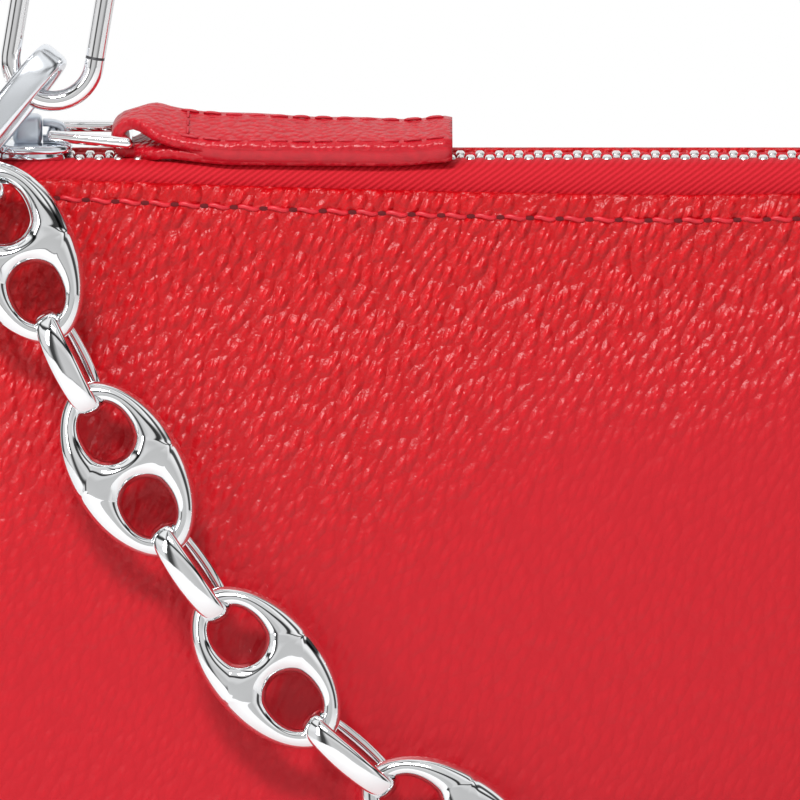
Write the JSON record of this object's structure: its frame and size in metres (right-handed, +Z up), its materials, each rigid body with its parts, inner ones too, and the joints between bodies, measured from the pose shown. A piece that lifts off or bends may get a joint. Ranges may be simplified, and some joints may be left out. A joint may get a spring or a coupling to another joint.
{
  "type": "clutch purse",
  "caption": "Zip-top leather pouch with a boxed base, a draped metal link chain, an oval spring-gate clip and a leather zip pull.",
  "frame": {"origin": "middle of the flat base, on the table", "axes": "+X to the right along the zip, front is -Y, +Z up"},
  "size_m": [0.2014, 0.0532, 0.1767],
  "materials": {
    "leather": "pebbled, semi-gloss red leather",
    "pull_leather": "smooth red leather with painted edges",
    "zip_tape": "red twill tape",
    "zip_metal": "polished teeth",
    "slider_metal": "polished",
    "hardware_metal": "polished",
    "chain_metal": "polished",
    "lining": "woven lining",
    "board": "pressed fibre board"
  },
  "bodies": {
    "bag": {"back_panel": "leather", "base_board": "board", "base_panel": "leather", "front_panel": "leather", "lining_back": "lining", "lining_base": "lining", "lining_front": "lining", "lining_side_left": "lining", "lining_side_right": "lining", "ring_tab_left": "pull_leather", "ring_tab_right": "pull_leather", "side_gusset_left": "leather", "side_gusset_right": "leather", "slip_pocket": "lining", "zip_bottom_stop": "zip_metal", "zip_tape_back": "zip_tape", "zip_tape_front": "zip_tape", "zip_teeth_back": "zip_metal", "zip_teeth_front": "zip_metal", "zip_top_stops": "zip_metal"},
    "slider": {"slider_body": "slider_metal", "slider_bridge": "slider_metal"},
    "pull": {"pull_bail": "slider_metal", "pull_tab": "pull_leather"},
    "chain": {"mariner_link_1": "chain_metal", "mariner_link_2": "chain_metal", "mariner_link_3": "chain_metal", "mariner_link_4": "chain_metal", "mariner_link_5": "chain_metal", "mariner_link_6": "chain_metal", "mariner_link_7": "chain_metal", "mariner_link_8": "chain_metal", "mariner_link_9": "chain_metal", "ring_link_2": "chain_metal", "ring_link_3": "chain_metal", "ring_link_4": "chain_metal", "ring_link_5": "chain_metal", "ring_link_6": "chain_metal", "ring_link_7": "chain_metal", "ring_link_8": "chain_metal", "ring_link_9": "chain_metal"},
    "end_ring_left": {"ring_link_1": "chain_metal"},
    "end_ring_right": {"ring_link_10": "chain_metal"},
    "strap_ring_left": {"strap_ring_left": "hardware_metal"},
    "strap_ring_right": {"strap_ring_right": "hardware_metal"},
    "carabiner_link": {"carabiner_link": "hardware_metal"},
    "carabiner": {"carabiner_body": "hardware_metal", "gate_pin": "hardware_metal"},
    "gate": {"carabiner_gate": "hardware_metal"}
  },
  "joints": [
    {"name": "zip_slide", "type": "slide", "parent": "bag", "child": "slider", "axis": [1, 0, 0], "range_m": [0, 0.16], "deforming": ["zip_teeth_front", "zip_teeth_back"]},
    {"name": "pull_lift", "type": "hinge", "parent": "slider", "child": "pull", "pos_m": [-0.08, 0, 0.1343], "axis": [0, -0.9848, -0.1736], "range_deg": [0, 50]},
    {"name": "chain_swing", "type": "hinge", "parent": "bag", "child": "chain", "pos_m": [0, -0.01189, 0.13071], "axis": [-1, 0, 0], "range_deg": [0, 45]},
    {"name": "end_ring_left_sway", "type": "hinge", "parent": "bag", "child": "end_ring_left", "pos_m": [-0.0929, -0.01074, 0.13835], "axis": [-1, 0, 0], "range_deg": [0, 2]},
    {"name": "end_ring_right_sway", "type": "hinge", "parent": "bag", "child": "end_ring_right", "pos_m": [0.0929, -0.01074, 0.13835], "axis": [-1, 0, 0], "range_deg": [0, 2]},
    {"name": "strap_ring_left_tilt", "type": "hinge", "parent": "bag", "child": "strap_ring_left", "pos_m": [-0.0985, -0.00974, 0.13835], "axis": [0, 1, 0], "range_deg": [0, 6]},
    {"name": "strap_ring_right_tilt", "type": "hinge", "parent": "bag", "child": "strap_ring_right", "pos_m": [0.0985, -0.00974, 0.13835], "axis": [0, -1, 0], "range_deg": [0, 6]},
    {"name": "link_tilt", "type": "hinge", "parent": "end_ring_left", "child": "carabiner_link", "pos_m": [-0.0898, -0.00595, 0.1327], "axis": [0, 1, 0], "range_deg": [-4, 4]},
    {"name": "carabiner_tip", "type": "hinge", "parent": "carabiner_link", "child": "carabiner", "pos_m": [-0.0842, -0.0066, 0.1414], "axis": [0, 1, 0], "range_deg": [-12, 20]},
    {"name": "gate_open", "type": "hinge", "parent": "carabiner", "child": "gate", "pos_m": [-0.07093, -0.0066, 0.16502], "axis": [0, 1, 0], "range_deg": [0, 20], "stiffness_Nm_per_rad": 0.002, "springref_deg": -17.19}
  ]
}
